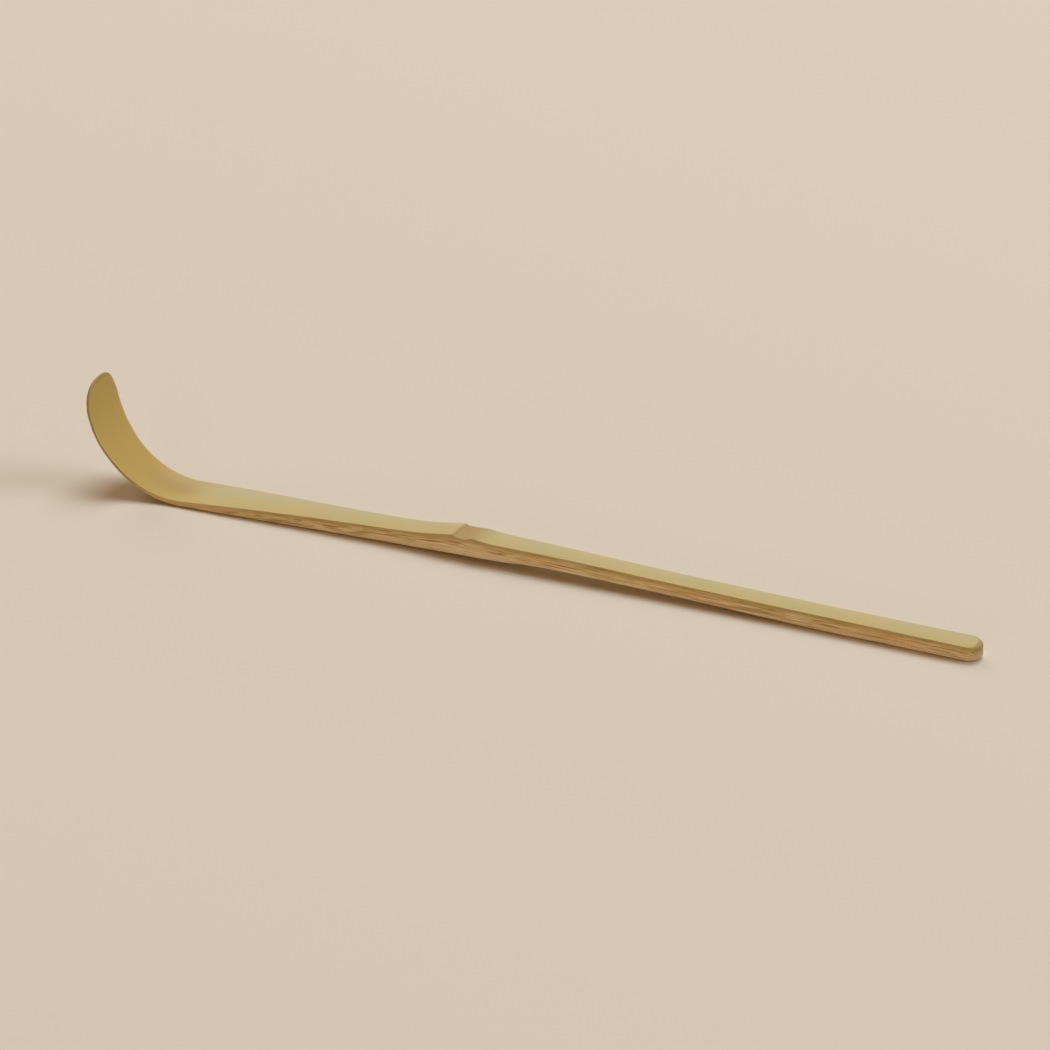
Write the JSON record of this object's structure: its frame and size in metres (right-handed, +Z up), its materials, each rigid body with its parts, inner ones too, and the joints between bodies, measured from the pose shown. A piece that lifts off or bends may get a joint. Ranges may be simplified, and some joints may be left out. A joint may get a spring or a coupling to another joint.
{
  "type": "tea scoop",
  "caption": "Bamboo scoop for powdered tea: a slim strip with a culm node at mid length, bent up at one end into a thin rounded blade and cut square at the grip.",
  "frame": {"origin": "on the table under the middle of the scoop's bounding box", "axes": "+X along the strip from the blade to the cut end of the grip, +Y across the strip, +Z up from the table, with the bamboo's skin upwards"},
  "size_m": [0.1792, 0.0118, 0.0221],
  "materials": {
    "bamboo": "satin"
  },
  "bodies": {
    "root": {"tea_scoop": "bamboo"}
  },
  "joints": []
}
